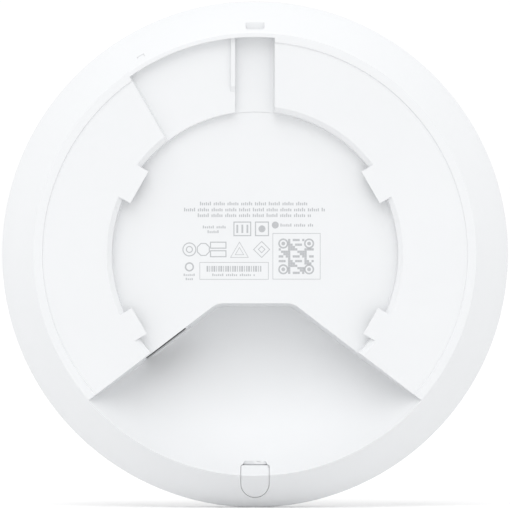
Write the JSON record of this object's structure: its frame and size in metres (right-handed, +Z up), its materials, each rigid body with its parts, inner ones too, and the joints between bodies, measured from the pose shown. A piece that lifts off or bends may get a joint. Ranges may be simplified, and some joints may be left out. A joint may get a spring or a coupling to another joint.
{
  "type": "ceiling access point",
  "caption": "Round wireless access point seen from its mounting side: bayonet recess, sunken cable bay with a network port, snap-in cable door, domed front with a light ring.",
  "frame": {"origin": "on the unit's axis, in the plane of the back rim that meets the ceiling or wall", "axes": "+Z up the unit towards the alignment notch, +Y from the back rim to the crown of the front cover (the back faces -Y), +X to the right when looking at the back"},
  "size_m": [0.16, 0.0314, 0.16],
  "materials": {
    "white_shell": "fine moulded texture, satin",
    "white_disc": "satin",
    "diffuser": "milky",
    "clear_guide": "clear",
    "black_foam": "matt",
    "led_package": "gloss",
    "circuit_board": "solder mask",
    "screw_steel": "zinc plated",
    "spreader_aluminium": "stamped",
    "thermal_pad": "soft",
    "chip_black": "moulded epoxy",
    "tinned_sheet": "tin plated",
    "ferrite": "pressed powder",
    "capacitor_can": "bare can",
    "ceramic": "fired ceramic",
    "black_plastic": "satin",
    "gold_contact": "gold plated",
    "button_plastic": "satin",
    "antenna_brass": "stamped"
  },
  "bodies": {
    "unit": {"back_cover": "white_shell", "front_cover": "white_shell", "front_disc": "white_disc", "light_ring": "diffuser", "light_guide": "clear_guide", "light_baffle": "black_foam", "status_leds": "led_package", "main_board": "circuit_board", "board_screws": "screw_steel", "heat_spreader": "spreader_aluminium", "thermal_pads": "thermal_pad", "cpu_chip": "chip_black", "memory_chips": "chip_black", "radio_chips": "chip_black", "power_chips": "chip_black", "network_transformer": "chip_black", "cpu_shield_frame": "tinned_sheet", "cpu_shield_lid": "tinned_sheet", "radio_shield_frames": "tinned_sheet", "radio_shield_lids": "tinned_sheet", "crystals": "tinned_sheet", "power_inductors": "ferrite", "power_capacitors": "capacitor_can", "chip_capacitors": "ceramic", "ethernet_jack": "black_plastic", "jack_contacts": "gold_contact", "reset_switch": "black_plastic", "antenna_2g_left": "antenna_brass", "antenna_2g_right": "antenna_brass", "antenna_5g_left": "antenna_brass", "antenna_5g_right": "antenna_brass"},
    "cable_door": {"cable_door": "white_shell"},
    "reset_button": {"reset_button": "button_plastic"}
  },
  "joints": [
    {"name": "cable_door_pull", "type": "slide", "parent": "unit", "child": "cable_door", "axis": [0, -1, 0], "range_m": [0, 0.016]},
    {"name": "reset_press", "type": "slide", "parent": "unit", "child": "reset_button", "axis": [-0.6074, 0, 0.7944], "range_m": [0, 0.0003], "stiffness_N_per_m": 2000}
  ]
}
